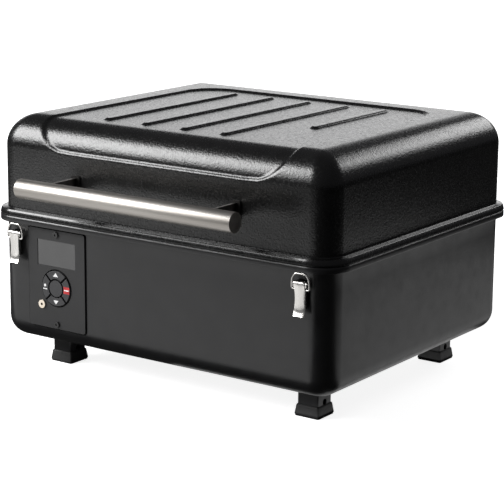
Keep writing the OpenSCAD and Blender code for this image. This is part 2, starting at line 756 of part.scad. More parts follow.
placed() tub();
for (c = CORNERS) placed() translate([c[1] * leg_x, c[2] * leg_y, 0]) leg();
for (c = CORNERS) placed() translate([c[1] * leg_x, c[2] * leg_y, 0]) foot();
placed() lid_shell();
placed() handle_bar();
for (e = ENDS) placed() translate([e[1] * bracket_gap / 2, 0, 0]) handle_bracket();
placed() handle_studs();
placed() control_panel();
placed() panel_screws();
placed() display_window();
placed() display_module();
placed() controller_board();
placed() controller_housing();
placed() keypad_base();
for (k = KEYS) placed() ring_key(k[1]);
placed() key_hub();
placed() probe_jack();
for (e = ENDS) placed() at_latch(e[1]) latch_plate();
for (e = ENDS) placed() at_latch(e[1]) latch_lever();
for (e = ENDS) placed() at_latch(e[1]) latch_bail();
placed() hinge_tub_leaves();
placed() hinge_lid_leaves();
placed() hinge_pins();
placed() bulkhead();
placed() hopper();
placed() hopper_lid();
placed() hopper_hinge();
placed() controller_deck();
placed() auger();
placed() auger_tube();
placed() auger_motor();
placed() fire_pot();
placed() igniter_rod();
placed() blower_housing();
placed() blower_wheel();
placed() blower_motor();
placed() air_duct();
placed() heat_baffle();
placed() drip_tray();
placed() tray_rails();
placed() grease_cup();
placed() grill_grate();
placed() griddle();
placed() temperature_probe();
placed() power_inlet();
placed() power_switch_frame();
placed() power_rocker();
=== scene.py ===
import math

import bpy
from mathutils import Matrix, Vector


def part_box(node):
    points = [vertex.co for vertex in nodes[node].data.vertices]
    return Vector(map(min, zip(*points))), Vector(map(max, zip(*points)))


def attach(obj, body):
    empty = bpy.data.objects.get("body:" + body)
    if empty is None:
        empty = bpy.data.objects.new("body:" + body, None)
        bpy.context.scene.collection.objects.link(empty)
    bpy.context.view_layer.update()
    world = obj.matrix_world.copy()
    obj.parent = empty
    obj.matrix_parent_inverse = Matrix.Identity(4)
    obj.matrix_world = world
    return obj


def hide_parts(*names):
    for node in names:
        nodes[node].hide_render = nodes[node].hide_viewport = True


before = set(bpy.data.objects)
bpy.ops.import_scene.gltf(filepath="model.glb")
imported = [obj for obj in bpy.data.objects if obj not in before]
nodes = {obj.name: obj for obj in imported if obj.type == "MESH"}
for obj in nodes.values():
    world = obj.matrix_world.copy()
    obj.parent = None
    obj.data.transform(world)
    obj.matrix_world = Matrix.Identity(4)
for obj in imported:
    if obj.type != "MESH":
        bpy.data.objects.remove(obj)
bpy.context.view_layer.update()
bpy.ops.object.select_all(action="DESELECT")

# ---------- camera and studio ----------
# The grill stands on a pale floor and is seen from its front right, a little above the lid,
# through a long lens. Three soft boxes light it, and four flat cards on the floor fill its sides.
tub_low, tub_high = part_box("tub")
body_y = (tub_low.y + tub_high.y) / 2
azimuth, elevation, roll = math.radians(34.97), math.radians(13.05), math.radians(0.52)
aim_z = 0.158
distance = 2.4358
focal_length = 131.05

bpy.ops.object.camera_add(
    location=(
        distance * math.cos(elevation) * math.sin(azimuth),
        body_y - distance * math.cos(elevation) * math.cos(azimuth),
        aim_z + distance * math.sin(elevation),
    ),
    rotation=(math.pi / 2 - elevation, 0, azimuth),
)
camera = bpy.context.object
camera.rotation_euler.rotate_axis("Z", roll)
camera.data.lens = focal_length
camera.data.sensor_width = 36
camera.data.shift_x = -0.0043
camera.data.shift_y = -0.0154
camera.data.clip_end = 30
bpy.context.scene.camera = camera


def soft_light(name, place, toward, width, height, power):
    bpy.ops.object.light_add(type="AREA", location=place)
    light = bpy.context.object
    light.name = name
    light.data.shape = "RECTANGLE"
    light.data.size, light.data.size_y = width, height
    light.data.energy = power
    light.visible_camera = False
    aim = [toward[axis] - place[axis] for axis in range(3)]
    across = math.atan2(aim[1], aim[0]) - math.pi / 2
    tip = math.atan2(math.hypot(aim[0], aim[1]), -aim[2])
    light.rotation_euler = (tip, 0, across)


centre = (0, body_y, 0.2)
soft_light("front_left_box", (-1.65, -1.50, 1.50), centre, 1.5, 1.25, 92)
soft_light("backdrop_left", (-1.9, 2.7, 0.72), centre, 3.4, 1.3, 19.5)
soft_light("back_right_box", (0.66, 2.6, 1.50), centre, 1.4, 0.7, 17.5)
soft_light("front_card", (-0.55, -0.643, 0.004), (-0.55, -0.642, 1), 1.5, 0.766, 3.9)
soft_light("far_card", (-0.95, -1.15, 0.004), (-0.95, -1.149, 1), 0.75, 0.5, 1.9)
soft_light("right_card", (0.506, 0.35, 0.004), (0.506, 0.351, 1), 0.488, 0.9, 0.86)
soft_light("under_card", (0.12, 0.05, 0.004), (0.12, 0.051, 1), 0.27, 0.42, 0.23)

world = bpy.data.worlds.new("dim room")
bpy.context.scene.world = world
world.use_nodes = True
dim = world.node_tree.nodes["Background"]
dim.inputs["Color"].default_value = (0.10, 0.10, 0.105, 1)
white = world.node_tree.nodes.new("ShaderNodeBackground")
white.inputs["Color"].default_value = (1, 1, 1, 1)
sight = world.node_tree.nodes.new("ShaderNodeLightPath")
either = world.node_tree.nodes.new("ShaderNodeMixShader")
world.node_tree.links.new(sight.outputs["Is Camera Ray"], either.inputs[0])
world.node_tree.links.new(dim.outputs[0], either.inputs[1])
world.node_tree.links.new(white.outputs[0], either.inputs[2])
world.node_tree.links.new(either.outputs[0], world.node_tree.nodes["World Output"].inputs["Surface"])
bpy.context.scene.view_settings.view_transform = "Standard"

bpy.ops.mesh.primitive_plane_add(size=90)
floor = bpy.context.object
floor.name = "floor"
pale = bpy.data.materials.new("pale floor")
pale.use_nodes = True
links = pale.node_tree.links
seen = pale.node_tree.nodes["Principled BSDF"]
seen.inputs["Base Color"].default_value = (0.90, 0.90, 0.90, 1)
seen.inputs["Roughness"].default_value = 1
seen.inputs["Specular IOR Level"].default_value = 0
seen.inputs["Emission Color"].default_value = (1, 1, 1, 1)
ground = pale.node_tree.nodes.new("ShaderNodeTexCoord")
away = pale.node_tree.nodes.new("ShaderNodeVectorMath")
away.operation = "LENGTH"
# The floor glows less near the grill so its real contact shadows show; this also paints a faint grey shade
# round the grill.
glow = pale.node_tree.nodes.new("ShaderNodeMapRange")
glow.inputs["From Min"].default_value, glow.inputs["From Max"].default_value = 0.5, 1.6
glow.inputs["To Min"].default_value, glow.inputs["To Max"].default_value = 0.86, 1.02
links.new(ground.outputs["Object"], away.inputs[0])
links.new(away.outputs["Value"], glow.inputs["Value"])
links.new(glow.outputs[0], seen.inputs["Emission Strength"])
bounced = pale.node_tree.nodes.new("ShaderNodeBsdfDiffuse")
bounced.inputs["Color"].default_value = (0.05, 0.05, 0.05, 1)
path = pale.node_tree.nodes.new("ShaderNodeLightPath")
choose = pale.node_tree.nodes.new("ShaderNodeMixShader")
links.new(path.outputs["Is Camera Ray"], choose.inputs[0])
links.new(bounced.outputs[0], choose.inputs[1])
links.new(seen.outputs[0], choose.inputs[2])
links.new(choose.outputs[0], pale.node_tree.nodes["Material Output"].inputs["Surface"])
floor.data.materials.append(pale)

# ---------- tub ----------
# The tub is one steel blank drawn over a round-cornered die: floor, bend, upright wall, then a
# flared rim with a rolled lip. It is powder-coated satin black with a fine even grain.
MM = 0.001
rim_out = 10 * MM
corner_r = 30 * MM
half_x = tub_high.x - rim_out
half_y = (tub_high.y - tub_low.y) / 2 - rim_out
front_y = body_y - half_y
back_y = body_y + half_y
floor_z = tub_low.z
floor_bend = 27 * MM
lip_z = tub_high.z
crease_z = lip_z - 10.2 * MM


class Finish:
    """A Principled material, built up in coats that all read the piece's own coordinates."""

    def __init__(self, name, colour, roughness, metal=0.0, clearcoat=0.0):
        self.material = bpy.data.materials.new(name)
        self.material.use_nodes = True
        self.tree = self.material.node_tree
        self.shader = self.tree.nodes["Principled BSDF"]
        self.shader.inputs["Base Color"].default_value = (*colour, 1)
        self.shader.inputs["Roughness"].default_value = roughness
        self.shader.inputs["Metallic"].default_value = metal
        self.shader.inputs["Coat Weight"].default_value = clearcoat
        self.place = self.tree.nodes.new("ShaderNodeTexCoord")

    def pattern(self, kind, scale, detail=2.0, stretch=(1, 1, 1)):
        turn = self.tree.nodes.new("ShaderNodeMapping")
        turn.inputs["Scale"].default_value = stretch
        self.tree.links.new(self.place.outputs["Object"], turn.inputs["Vector"])
        texture = self.tree.nodes.new("ShaderNodeTex" + kind)
        texture.inputs["Scale"].default_value = scale
        if "Detail" in texture.inputs:
            texture.inputs["Detail"].default_value = detail
        self.tree.links.new(turn.outputs[0], texture.inputs["Vector"])
        return texture.outputs["Distance" if kind == "Voronoi" else "Fac"]

    def grain(self, scale, height, detail=2.0, stretch=(1, 1, 1), kind="Noise", strength=1.0, fades=()):
        """Raised texture of the given height in metres; a second call adds to the first. With
        fades, its strength follows the piece's own height through (z, strength) pairs."""
        bump = self.tree.nodes.new("ShaderNodeBump")
        bump.inputs["Distance"].default_value = height
        bump.inputs["Strength"].default_value = strength
        if fades:
            split = self.tree.nodes.new("ShaderNodeSeparateXYZ")
            span = self.tree.nodes.new("ShaderNodeMapRange")
            span.inputs["From Min"].default_value = fades[0][0]
            span.inputs["From Max"].default_value = fades[-1][0]
            ramp = self.tree.nodes.new("ShaderNodeValToRGB")
            for _ in fades[2:]:
                ramp.color_ramp.elements.new(0.5)
            for element, (z, share) in zip(ramp.color_ramp.elements, fades):
                element.position = (z - fades[0][0]) / (fades[-1][0] - fades[0][0])
            for element, (z, share) in zip(ramp.color_ramp.elements, fades):
                element.color = (share, share, share, 1)
            self.tree.links.new(self.place.outputs["Object"], split.inputs[0])
            self.tree.links.new(split.outputs["Z"], span.inputs["Value"])
            self.tree.links.new(span.outputs[0], ramp.inputs[0])
            self.tree.links.new(ramp.outputs[0], bump.inputs["Strength"])
        self.tree.links.new(self.pattern(kind, scale, detail, stretch), bump.inputs["Height"])
        below = self.shader.inputs["Normal"]
        if below.links:
            self.tree.links.new(below.links[0].from_socket, bump.inputs["Normal"])
        self.tree.links.new(bump.outputs[0], below)
        return self

    def uneven(self, socket, scale, low, high, detail=3.0, stretch=(1, 1, 1), kind="Noise"):
        """Lets a number, such as the roughness, wander between low and high."""
        spread = self.tree.nodes.new("ShaderNodeMapRange")
        spread.inputs["From Min"].default_value = 0.32
        spread.inputs["From Max"].default_value = 0.68
        spread.inputs["To Min"].default_value = low
        spread.inputs["To Max"].default_value = high
        self.tree.links.new(self.pattern(kind, scale, detail, stretch), spread.inputs["Value"])
        self.tree.links.new(spread.outputs[0], self.shader.inputs[socket])
        return self

    def mottled(self, scale, one, other, detail=3.0, stretch=(1, 1, 1), kind="Noise", ends=(0.35, 0.65)):
        """Lets the colour wander between two shades."""
        ramp = self.tree.nodes.new("ShaderNodeValToRGB")
        for element, at, shade in zip(ramp.color_ramp.elements, ends, (one, other)):
            element.position = at
            element.color = (*shade, 1)
        self.tree.links.new(self.pattern(kind, scale, detail, stretch), ramp.inputs[0])
        self.tree.links.new(ramp.outputs[0], self.shader.inputs["Base Color"])
        return self

    def paint_shade_past(self, start, end, shade):
        """Blends the colour into a painted shade between two places from front to back."""
        split = self.tree.nodes.new("ShaderNodeSeparateXYZ")
        span = self.tree.nodes.new("ShaderNodeMapRange")
        span.inputs["From Min"].default_value = start
        span.inputs["From Max"].default_value = end
        blend = self.tree.nodes.new("ShaderNodeMix")
        blend.data_type = "RGBA"
        blend.inputs[7].default_value = (*shade, 1)
        colour = self.shader.inputs["Base Color"]
        self.tree.links.new(self.place.outputs["Object"], split.inputs[0])
        self.tree.links.new(split.outputs["Y"], span.inputs["Value"])
        self.tree.links.new(span.outputs[0], blend.inputs["Factor"])
        self.tree.links.new(colour.links[0].from_socket, blend.inputs[6])
        self.tree.links.new(blend.outputs[2], colour)
        return self


def ruled_lines(half, coarse, fine=()):
    """Places of a blank's lines from -half to half: even, and closer over each fine stretch."""
    count = round(2 * half / coarse)
    places = [-half + 2 * half * i / count for i in range(1, count)]
    nearest = coarse / 3
    for middle, reach, step in fine:
        nearest = min(nearest, step * 0.7)
        places = [p for p in places if abs(p - middle) > reach + step / 2]
        places += [middle + step * i for i in range(-round(reach / step), round(reach / step) + 1)]
    kept = [-half]
    for p in sorted(places):
        if p - kept[-1] > nearest and half - p > nearest:
            kept.append(p)
    return kept + [half]


def drawn_sheet(name, flat_x, flat_y, loops):
    """A blank drawn over a die. Each loop, from the flat outwards, is how far it stands out from
    the wall, its height and its corner radius."""
    count = len(loops) - 1
    columns, rows = 2 * count + len(flat_x) - 1, 2 * count + len(flat_y) - 1
    bpy.ops.mesh.primitive_grid_add(x_subdivisions=columns, y_subdivisions=rows, size=2)
    sheet = bpy.context.object
    sheet.name = name
    for vertex in sheet.data.vertices:
        i = round((vertex.co.x + 1) / 2 * columns)
        j = round((vertex.co.y + 1) / 2 * rows)
        u = max(count - i, i - count - len(flat_x) + 1, 0)
        v = max(count - j, j - count - len(flat_y) + 1, 0)
        k = max(u, v)
        out, z, radius = loops[k]
        reach_x, reach_y = half_x + out, half_y + out
        inner_x, inner_y = reach_x - radius, reach_y - radius
        turn = math.pi / 4 * (v / k if u == k else 2 - u / k) if k else 0
        x = math.copysign(inner_x + radius * math.cos(turn), i - count - 1)
        y = math.copysign(inner_y + radius * math.sin(turn), j - count - 1)
        if u == 0:
            x = flat_x[i - count] * inner_x / flat_x[-1]
        if v == 0:
            y = flat_y[j - count] * inner_y / flat_y[-1]
        vertex.co = (x, body_y + y, z)
    return sheet


def arc_steps(start, end, count):
    return [math.radians(start + (end - start) * i / count) for i in range(count + 1)]


def apply_modifier(piece, kind, **settings):
    bpy.context.view_layer.objects.active = piece
    modifier = piece.modifiers.new(kind.lower(), kind)
    for key, value in settings.items():
        setattr(modifier, key, value)
    bpy.ops.object.modifier_apply(modifier=modifier.name)


def ease_edges(piece, width, segments, angle):
    """Rounds a piece's edges that are sharper than the angle."""
    limit = math.radians(angle)
    apply_modifier(piece, "BEVEL", width=width, segments=segments, limit_method="ANGLE", angle_limit=limit)


def round_block(name, centre, size, radius, axis="Y", segments=5):
    """A block whose four edges along one axis are rounded."""
    bpy.ops.object.select_all(action="DESELECT")
    bpy.ops.mesh.primitive_cube_add(size=1, location=centre)
    block = bpy.context.object
    block.name = name
    block.scale = size
    bpy.ops.object.transform_apply(location=True, rotation=True, scale=True)
    along = "XYZ".index(axis)
    bpy.ops.object.mode_set(mode="EDIT")
    bpy.ops.mesh.select_mode(type="EDGE")
    bpy.ops.mesh.select_all(action="DESELECT")
    bpy.ops.object.mode_set(mode="OBJECT")
    for edge in block.data.edges:
        a, b = (block.data.vertices[i].co for i in edge.vertices)
        edge.select = abs(a[along] - b[along]) > size[along] / 2
    bpy.ops.object.mode_set(mode="EDIT")
    bpy.ops.mesh.bevel(offset=radius, segments=segments, affect="EDGES")
    bpy.ops.object.mode_set(mode="OBJECT")
    return block


def cut_away(piece, cutters):
    """Punches the cutters' shapes out of a piece."""
    bpy.ops.object.select_all(action="DESELECT")
    for cutter in cutters:
        cutter.select_set(True)
    bpy.context.view_layer.objects.active = cutters[0]
    if len(cutters) > 1:
        bpy.ops.object.join()
    tool = bpy.context.view_layer.objects.active
    apply_modifier(piece, "BOOLEAN", operation="DIFFERENCE", object=tool, solver="EXACT")
    bpy.data.objects.remove(tool)


def finish_piece(piece, body, finish, replaces=(), smooth=35):
    """Gives a piece its material, its body and the nodes it stands for."""
    piece.data.materials.clear()
    piece.data.materials.append(finish.material)
    bpy.ops.object.select_all(action="DESELECT")
    piece.select_set(True)
    bpy.context.view_layer.objects.active = piece
    bpy.ops.object.shade_smooth_by_angle(angle=math.radians(smooth))
    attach(piece, body)
    if replaces:
        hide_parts(*replaces)
    piece.select_set(False)


tub_coat = Finish("satin black powder coat", (0.007, 0.007, 0.0075), 0.32)
tub_coat.grain(900, 0.00006, 2).grain(11, 0.0004, 1, strength=0.12)
tub_coat.uneven("Roughness", 60, 0.28, 0.36)
tub_coat.mottled(25, (0.006, 0.006, 0.0065), (0.008, 0.008, 0.0085))

panel_low, panel_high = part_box("control_panel")
panel_x = (panel_low.x + panel_high.x) / 2
panel_z = (panel_low.z + panel_high.z) / 2
panel_w = panel_high.x - panel_low.x
panel_h = panel_high.z - panel_low.z
tub_sheet = 1.5 * MM

wall_foot = floor_z + floor_bend
profile = [(-corner_r, floor_z)]
profile += [
    (floor_bend * (math.sin(a) - 1), wall_foot - floor_bend * math.cos(a)) for a in arc_steps(0, 90, 9)
]
profile += [(0, wall_foot + (crease_z - wall_foot) * i / 6) for i in range(1, 6)]
rim = [
    (0, 0.6), (0.15, 1.3), (0.8, 1.75), (8.9, 1.9), (9.6, 2.1), (9.95, 2.6),
    (10, 3.2), (10, 8.1), (9.85, 8.6), (9.1, 9.75), (8.8, 10.0), (7.4, 10.15),
]
profile += [(out * MM, crease_z + up * MM) for out, up in rim]
loops = [(out, z, corner_r + out) for out, z in profile]
line_gap = 30 * MM
lines_x = ruled_lines(half_x - corner_r, line_gap)
lines_y = ruled_lines(half_y - corner_r, line_gap)
tub = drawn_sheet("tub_body", lines_x, lines_y, loops)
bpy.ops.object.mode_set(mode="EDIT")
bpy.ops.mesh.select_all(action="SELECT")
bpy.ops.mesh.flip_normals()
bpy.ops.object.mode_set(mode="OBJECT")
apply_modifier(tub, "SOLIDIFY", thickness=tub_sheet, offset=-1, use_even_offset=True)

inlet_low, inlet_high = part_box("power_inlet")
switch_low, switch_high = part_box("power_switch_frame")
rear_z = (inlet_low.z + inlet_high.z) / 2
rear_hole_h = 20.6 * MM
inlet_at = ((inlet_low.x + inlet_high.x) / 2, back_y, rear_z)
switch_at = ((switch_low.x + switch_high.x) / 2, back_y, rear_z)
opening_size = (panel_w + 4 * MM, 12 * MM, panel_h + 3 * MM)
cutters = [
    round_block("opening", (panel_x, front_y, panel_z), opening_size, 5 * MM),
    round_block("inlet_hole", inlet_at, (28.6 * MM, 10 * MM, rear_hole_h), 2 * MM),
    round_block("switch_hole", switch_at, (14.6 * MM, 10 * MM, rear_hole_h), 1 * MM),
]
louvre_count, louvre_pitch, louvre_y, louvre_z = 7, 12 * MM, 70 * MM, 76 * MM
for i in range(louvre_count):
    at = (-half_x, body_y + louvre_y + louvre_pitch * i, louvre_z)
    cutters.append(round_block("louvre", at, (12 * MM, 5 * MM, 40 * MM), 2.4 * MM, axis="X"))
cut_away(tub, cutters)
finish_piece(tub, "base", tub_coat, ["tub"])

# The frame behind the opening is coloured near-black as painted shade in the gap round the panel.
ring_at = (panel_x, front_y + 2.3 * MM, panel_z)
ring_size = (panel_w + 12 * MM, 1.4 * MM, panel_h + 9 * MM)
ring_hole_size = (panel_w - 14 * MM, 20 * MM, panel_h - 24 * MM)
ring = round_block("tub_panel_frame", ring_at, ring_size, 6 * MM)
cut_away(ring, [round_block("frame_hole", (panel_x, front_y, panel_z), ring_hole_size, 4 * MM)])
gap_shade = Finish("near-black painted shade in the panel gap", (0.003, 0.003, 0.003), 0.9)
gap_shade.grain(1400, 0.0001).mottled(300, (0.002, 0.002, 0.002), (0.005, 0.005, 0.005))
finish_piece(ring, "base", gap_shade)

# ---------- legs and feet ----------
# Four short square steel tubes are welded under the tub and painted black. Each wears a moulded
# rubber boot, flared towards the ground and chamfered round its top.


def dress(names, finish, edge=0.4 * MM, segments=2, angle=38):
    """Gives nodes their finish, and eases their sharp edges."""
    for name in names:
        node = nodes[name]
        node.data.materials.clear()
        node.data.materials.append(finish.material)
        if edge:
            weld = node.modifiers.new("closed seams", "WELD")
            weld.merge_threshold = 0.01 * MM
            bevel = node.modifiers.new("eased edges", "BEVEL")
            bevel.width = edge
            bevel.segments = segments
            bevel.limit_method = "ANGLE"
            bevel.angle_limit = math.radians(angle)
            bevel.harden_normals = True


black_paint = Finish("satin black paint", (0.018, 0.018, 0.019), 0.40)
black_paint.grain(1100, 0.00005).uneven("Roughness", 70, 0.34, 0.46)
black_paint.mottled(30, (0.016, 0.016, 0.017), (0.022, 0.022, 0.023))
dress([n for n in nodes if n.startswith("leg_")], black_paint, 0.5 * MM)

rubber = Finish("black rubber", (0.03, 0.03, 0.03), 0.55)
rubber.grain(1500, 0.00004).grain(120, 0.00008, 1).uneven("Roughness", 50, 0.52, 0.72)
rubber.mottled(40, (0.024, 0.024, 0.024), (0.036, 0.036, 0.036))

# Height of each step of the boot's side, and how much wider the boot is there than its collar.
boot_sole = (1.0, 0.8)
boot_steps = [(2.2, 2.2), (3.2, 2.0), (13.0, -0.9), (13.8, -1.3), (15, -3)]
pocket_depth = 9 * MM
for corner in ("front_left", "front_right", "rear_left", "rear_right"):
    low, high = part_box("foot_" + corner)
    leg_low, leg_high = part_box("leg_" + corner)
    x, y = (low.x + high.x) / 2, (low.y + high.y) / 2
    side = high.x - low.x
    last_z, last_side = boot_sole[0] * MM, side + boot_sole[1] * MM
    sole = (last_side, last_side, last_z)
    boot = round_block("boot_" + corner, (x, y, last_z / 2), sole, 2.4 * MM, axis="Z")
    bpy.ops.object.mode_set(mode="EDIT")
    bpy.ops.mesh.select_mode(type="FACE")
    bpy.ops.mesh.select_all(action="DESELECT")
    bpy.ops.object.mode_set(mode="OBJECT")
    for face in boot.data.polygons:
        face.select = face.normal.z > 0.9
    bpy.ops.object.mode_set(mode="EDIT")
    for step_z, wider in boot_steps:
        step_z, step_side = step_z * MM, side + wider * MM
        bpy.ops.mesh.extrude_region_move(TRANSFORM_OT_translate={"value": (0, 0, step_z - last_z)})
        grow = step_side / last_side
        bpy.ops.transform.resize(value=(grow, grow, 1), center_override=(x, y, 0))
        last_z, last_side = step_z, step_side
    pocket = leg_high.x - leg_low.x + 0.5 * MM
    bpy.ops.mesh.inset(thickness=(last_side - pocket) / 2)
    bpy.ops.mesh.extrude_region_move(TRANSFORM_OT_translate={"value": (0, 0, -pocket_depth)})
    bpy.ops.object.mode_set(mode="OBJECT")
    ease_edges(boot, 0.5 * MM, 2, 30)
    finish_piece(boot, "base", rubber, ["foot_" + corner])

# ---------- lid ----------
# The lid is drawn like the tub, deeper at its crown, then struck a second time to sink its centre
# and leave five ribs standing. Its powder coat is glossier and has a coarse pebbled grain.
lid_low, lid_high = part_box("lid_shell")
top_z = lid_high.z
crown_r = 41 * MM
crown_z = top_z - crown_r
flange_z = lid_low.z + 8 * MM
lid_sheet = 1.6 * MM
strike_depth = 2.6 * MM
strike_half_x = 190 * MM
strike_back = 150 * MM
strike_front_z = 296 * MM
strike_corner = 46 * MM
strike_edge = 4.6 * MM
rib_pitch = 61 * MM
rib_half = 5.2 * MM
rib_back = 121 * MM
rib_front = -151 * MM
short_rib_front = -44 * MM
rib_edge = 4.4 * MM
flat_half_x = half_x - crown_r
flat_half_y = half_y - crown_r
strike_front = -flat_half_y - crown_r * math.acos((strike_front_z - crown_z) / crown_r)


def smooth_step(value, width):
    """1 well inside an outline, 0 well outside it, and a soft S between."""
    t = min(max(0.5 - value / width, 0), 1)
    return t * t * (3 - 2 * t)


def past_outline(x, s):
    """Distance outside the struck panel's outline, with s measured along the sheet."""
    middle, reach = (strike_back + strike_front) / 2, (strike_back - strike_front) / 2
    dx = abs(x) - strike_half_x + strike_corner
    ds = abs(s - middle) - reach + strike_corner
    return math.hypot(max(dx, 0), max(ds, 0)) + min(max(dx, ds), 0) - strike_corner


def past_rib(x, s, number):
    start = short_rib_front if number == 2 else rib_front
    nearest = min(max(s, start), rib_back)
    return math.hypot(x - number * rib_pitch, s - nearest) - rib_half


def struck(x, s):
    """How deep the second blow pushes the sheet at a place on it."""
    ribs = max(smooth_step(past_rib(x, s, number), rib_edge) for number in range(-2, 3))
    return strike_depth * smooth_step(past_outline(x, s), strike_edge) * (1 - ribs)


crown = arc_steps(0, 78, 19) + arc_steps(79.5, 90, 7)
loops = [
    (crown_r * (math.sin(a) - 1), crown_z + crown_r * math.cos(a), corner_r * math.sin(a)) for a in crown
]
wall = crown_z - flange_z
loops += [(0, crown_z - drop, corner_r) for drop in (1.5 * MM, 3 * MM, 5 * MM, 9 * MM)]
loops += [(0, crown_z - wall * i / 6, corner_r) for i in range(1, 6)]
hem = [
    (0, 2.0), (0.05, 1.1), (0.3, 0.45), (0.9, 0.1), (7.5, -0.2), (7.75, -0.35), (7.9, -0.6), (8.85, -2.25),
    (9.0, -2.6), (10, -6.6), (9.95, -7.3), (9.4, -7.8),
]
loops += [(out * MM, flange_z + up * MM, corner_r + out * MM) for out, up in hem]
rib_lines = [(n * rib_pitch, 7.5 * MM, 1 * MM) for n in range(-2, 3)]
edge_lines = [(s * strike_half_x, 3.5 * MM, 0.9 * MM) for s in (-1, 1)]
corner_lines = [(s * (strike_half_x - 24 * MM), 20 * MM, 2.5 * MM) for s in (-1, 1)]
lines_x = ruled_lines(flat_half_x, 14 * MM, rib_lines + corner_lines + edge_lines)
lines_y = ruled_lines(
    flat_half_y,
    12 * MM,
    [
        (strike_back - 24 * MM, 20 * MM, 2.5 * MM),
        (strike_back, 3.5 * MM, 0.9 * MM),
        (rib_back + 2 * MM, 5 * MM, 1.1 * MM),
        (rib_front - 2 * MM, 5 * MM, 1.1 * MM),
        (short_rib_front - 2 * MM, 5 * MM, 1.1 * MM),
    ],
)
lid = drawn_sheet("lid_body", lines_x, lines_y, loops)
for vertex in lid.data.vertices:
    x, y, z = vertex.co.x, vertex.co.y - body_y, vertex.co.z
    if abs(x) > strike_half_x + strike_edge or z < crown_z - 8 * MM:
        continue
    over_y = max(abs(y) - flat_half_y, 0)
    angle = math.atan2(over_y, z - crown_z) if z > crown_z else math.pi / 2
    along = abs(y) if over_y == 0 else flat_half_y + crown_r * angle + max(crown_z - z, 0)
    depth = struck(x, math.copysign(along, y))
    lean = angle if over_y else 0
    vertex.co.z -= depth * math.cos(lean)
    vertex.co.y -= math.copysign(depth * math.sin(lean), y)
apply_modifier(lid, "SOLIDIFY", thickness=lid_sheet, offset=-1, use_even_offset=True)

vent_z = 232 * MM
vent_size = (66 * MM, 16 * MM, 12 * MM)
cut_away(lid, [round_block("vent", (x * MM, back_y, vent_z), vent_size, 3.4 * MM) for x in (-78, 0, 78)])

lid_coat = Finish("pebbled black powder coat", (0.004, 0.004, 0.004), 0.28)
pebbles = [(flange_z, 0.02), (flange_z + 5 * MM, 1), (top_z - 12 * MM, 1), (top_z - 2.5 * MM, 0.45)]
lid_coat.grain(480, 0.00022, 1, fades=pebbles).grain(1500, 0.00004, 1, fades=pebbles[:2])
lid_coat.uneven("Roughness", 300, 0.18, 0.30).mottled(40, (0.003, 0.003, 0.003), (0.006, 0.006, 0.006))
finish_piece(lid, "lid", lid_coat, ["lid_shell"])

# ---------- handle ----------
# A stainless tube with closed ends, brushed along its length, stands off the lid on two flat
# straps set on edge. Each strap is welded to a foot that is bolted through the lid; the feet are
# coloured near-black as painted shade against the lid.
brushed = Finish("brushed stainless steel", (0.37, 0.35, 0.325), 0.44, metal=1.0)
brushed.grain(420, 0.00004, 4, stretch=(0.015, 1, 1))
brushed.uneven("Roughness", 180, 0.40, 0.49, stretch=(0.03, 1, 1))
brushed.mottled(150, (0.33, 0.31, 0.285), (0.42, 0.40, 0.375), stretch=(0.02, 1, 1))

low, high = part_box("handle_bar")
bar_y, bar_z = (low.y + high.y) / 2, (low.z + high.z) / 2
bar_r = (high.z - low.z) / 2
bpy.ops.mesh.primitive_cylinder_add(
    vertices=96,
    radius=bar_r,
    depth=high.x - low.x,
    location=(0, bar_y, bar_z),
    rotation=(0, math.pi / 2, 0),
)
bar = bpy.context.object
bar.name = "handle_tube"
bpy.ops.object.transform_apply(location=True, rotation=True, scale=True)
bpy.ops.object.mode_set(mode="EDIT")
bpy.ops.mesh.select_mode(type="FACE")
bpy.ops.mesh.select_all(action="DESELECT")
bpy.ops.object.mode_set(mode="OBJECT")
for face in bar.data.polygons:
    face.select = abs(face.normal.x) > 0.9
bpy.ops.object.mode_set(mode="EDIT")
bpy.ops.mesh.inset(thickness=1.6 * MM)
bpy.ops.mesh.inset(thickness=0.4 * MM, depth=-0.5 * MM)
bpy.ops.mesh.inset(thickness=0.5 * MM, depth=0.4 * MM)
bpy.ops.object.mode_set(mode="OBJECT")
ease_edges(bar, 0.8 * MM, 3, 50)
finish_piece(bar, "lid", brushed, ["handle_bar"])
strap_steel = Finish("satin strap steel", (0.30, 0.285, 0.27), 0.42, metal=1.0)
strap_steel.grain(300, 0.00003).uneven("Roughness", 120, 0.40, 0.52)
strap_steel.mottled(90, (0.27, 0.255, 0.24), (0.33, 0.315, 0.30))
strap_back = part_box("handle_bracket_left")[1].y
# Each strap's end at the lid fades to near-black: painted shade.
strap_steel.paint_shade_past(strap_back - 12 * MM, strap_back - 4 * MM, (0.03, 0.029, 0.028))
dress(["handle_bracket_left", "handle_bracket_right", "handle_studs"], strap_steel, 0.4 * MM)

# ---------- control panel ----------
# A flat moulded panel stands 2 mm proud in an opening of the tub's front, held by two black screws.
# It has a smoked window, a round keypad of four sector keys about a hub, and a brass jack.
panel_plastic = Finish("fine-grained charcoal plastic", (0.010, 0.010, 0.0105), 0.52)
panel_plastic.grain(1800, 0.00003).uneven("Roughness", 90, 0.48, 0.58)
panel_plastic.mottled(45, (0.009, 0.009, 0.0095), (0.012, 0.012, 0.0125))
dress(["control_panel"], panel_plastic, 0.6 * MM, segments=3)

inner_plastic = Finish("black moulded plastic", (0.012, 0.012, 0.012), 0.55)
inner_plastic.grain(1200, 0.00004).uneven("Roughness", 60, 0.5, 0.62)
inner_plastic.mottled(30, (0.010, 0.010, 0.010), (0.015, 0.015, 0.015))
moulded = ["controller_housing", "keypad_base", "blower_wheel", "power_inlet", "power_switch_frame"]
dress(moulded, inner_plastic, 0.3 * MM)

